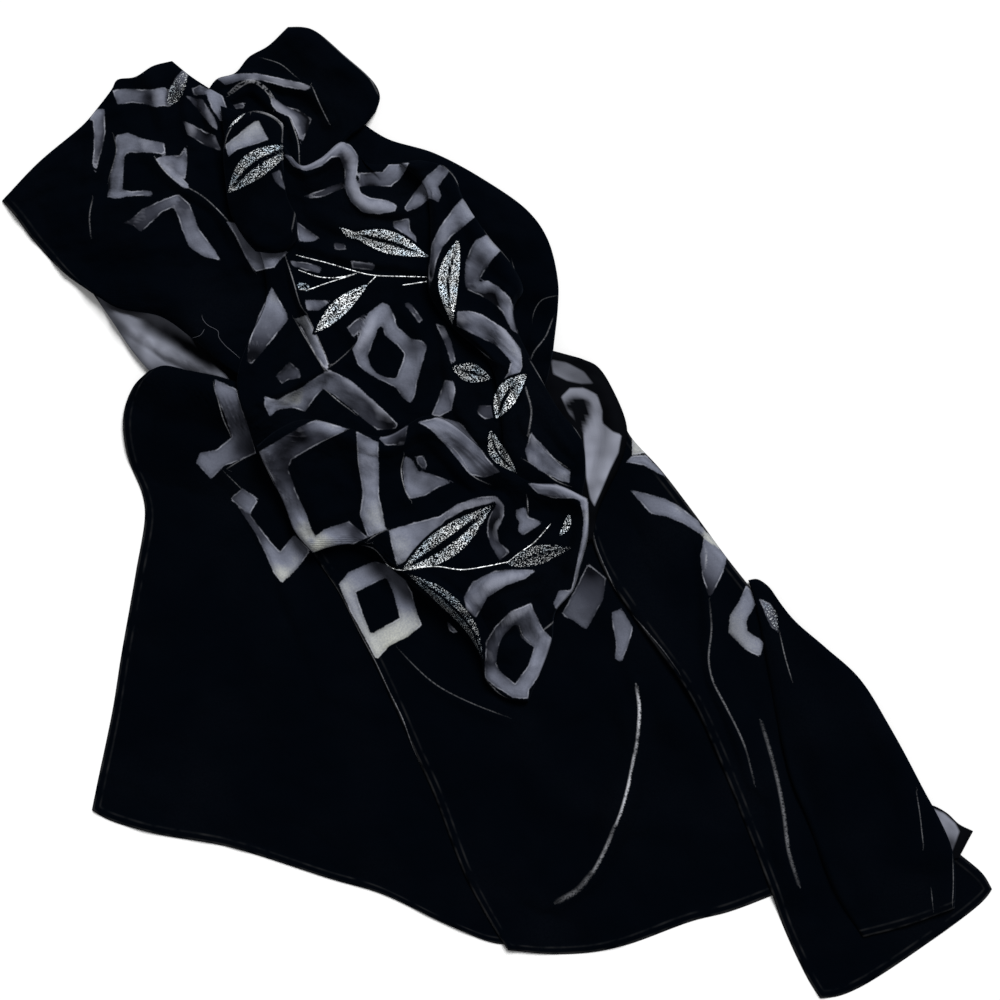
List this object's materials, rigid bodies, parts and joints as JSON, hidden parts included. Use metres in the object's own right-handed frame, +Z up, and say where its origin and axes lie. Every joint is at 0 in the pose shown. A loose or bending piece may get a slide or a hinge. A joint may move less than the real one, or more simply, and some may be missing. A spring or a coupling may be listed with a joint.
{
  "type": "evening stole",
  "caption": "Evening stole of burnt-out velvet with nested squares and silver leaf sprays, dropped in a loose heap with its plain hemmed ends spread flat.",
  "frame": {"origin": "on the surface that the stole lies on, below the middle of its outline", "axes": "+Z up, +X to the right of the picture and +Y to its top, seen from straight above"},
  "size_m": [0.99, 0.971, 0.0635],
  "materials": {
    "velvet": "near-black burnt-out velvet pile with a smoke-grey sheer ground and silver foil leaves",
    "reverse": "smooth smoke-grey reverse of the velvet"
  },
  "bodies": {
    "root": {"hidden_layers": "velvet", "turned_back": "reverse", "end_left": "velvet", "end_centre": "velvet", "tail_under": "velvet", "turned_corner": "reverse", "tail_over": "velvet", "right_loop": "reverse", "back_border": "velvet", "top_flap": "velvet", "end_top_left": "velvet", "bunch_upper": "velvet", "right_fold": "velvet", "rolled_fold": "velvet", "bunch_lower": "velvet"}
  },
  "joints": []
}
